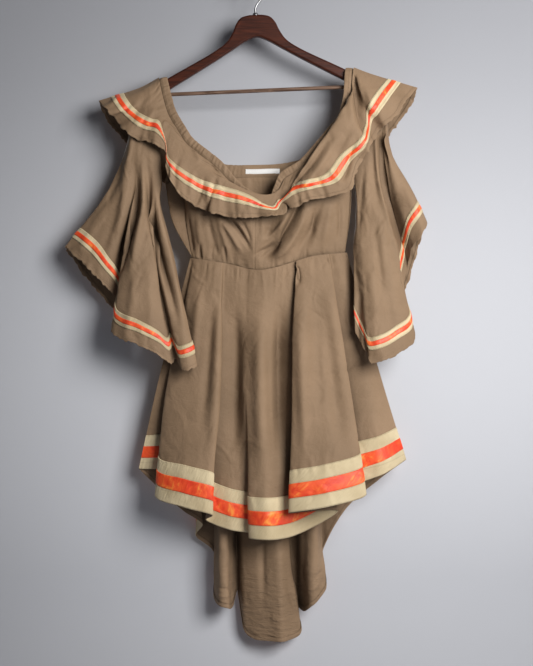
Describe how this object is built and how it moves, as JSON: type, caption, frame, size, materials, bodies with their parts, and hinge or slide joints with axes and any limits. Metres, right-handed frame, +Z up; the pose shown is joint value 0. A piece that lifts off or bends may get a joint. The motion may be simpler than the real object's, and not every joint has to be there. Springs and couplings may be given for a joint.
{
  "type": "off-shoulder ruffle dress with flared sleeves and a train, on a wooden hanger",
  "caption": "Brown cotton dress with a gathered neck, a ruffle, bell sleeves and a long train, edged in cream and orange, hung on a dark wooden hanger.",
  "frame": {"origin": "inside top of the hook's crown, where the hook hangs on a rail", "axes": "+Z up along the hanging dress, +Y from the dress's front to its back, +X towards the viewer's right"},
  "size_m": [0.669, 0.1305, 1.2159],
  "materials": {
    "dress_cloth": "soft, slightly lustrous",
    "cream_tape": "matt",
    "orange_satin": "satin sheen",
    "dark_wood": "varnished",
    "bar_wood": "varnished",
    "steel": "plated",
    "label_cloth": "matt"
  },
  "bodies": {
    "root": {"hanger_body": "dark_wood", "hanger_bar": "bar_wood", "hanger_hook": "steel", "neck_casing": "dress_cloth", "bodice_front": "dress_cloth", "bodice_back": "dress_cloth", "flounce_front": "dress_cloth", "flounce_back": "dress_cloth", "sleeve_left": "dress_cloth", "sleeve_right": "dress_cloth", "skirt_front": "dress_cloth", "skirt_back": "dress_cloth", "flounce_front_tape": "cream_tape", "flounce_front_satin": "orange_satin", "flounce_back_tape": "cream_tape", "flounce_back_satin": "orange_satin", "sleeve_left_tape": "cream_tape", "sleeve_left_satin": "orange_satin", "sleeve_right_tape": "cream_tape", "sleeve_right_satin": "orange_satin", "hem_band_front_tape": "cream_tape", "hem_band_front_satin": "orange_satin", "hem_band_back_tape": "cream_tape", "hem_band_back_satin": "orange_satin", "neck_label": "label_cloth"}
  },
  "joints": []
}
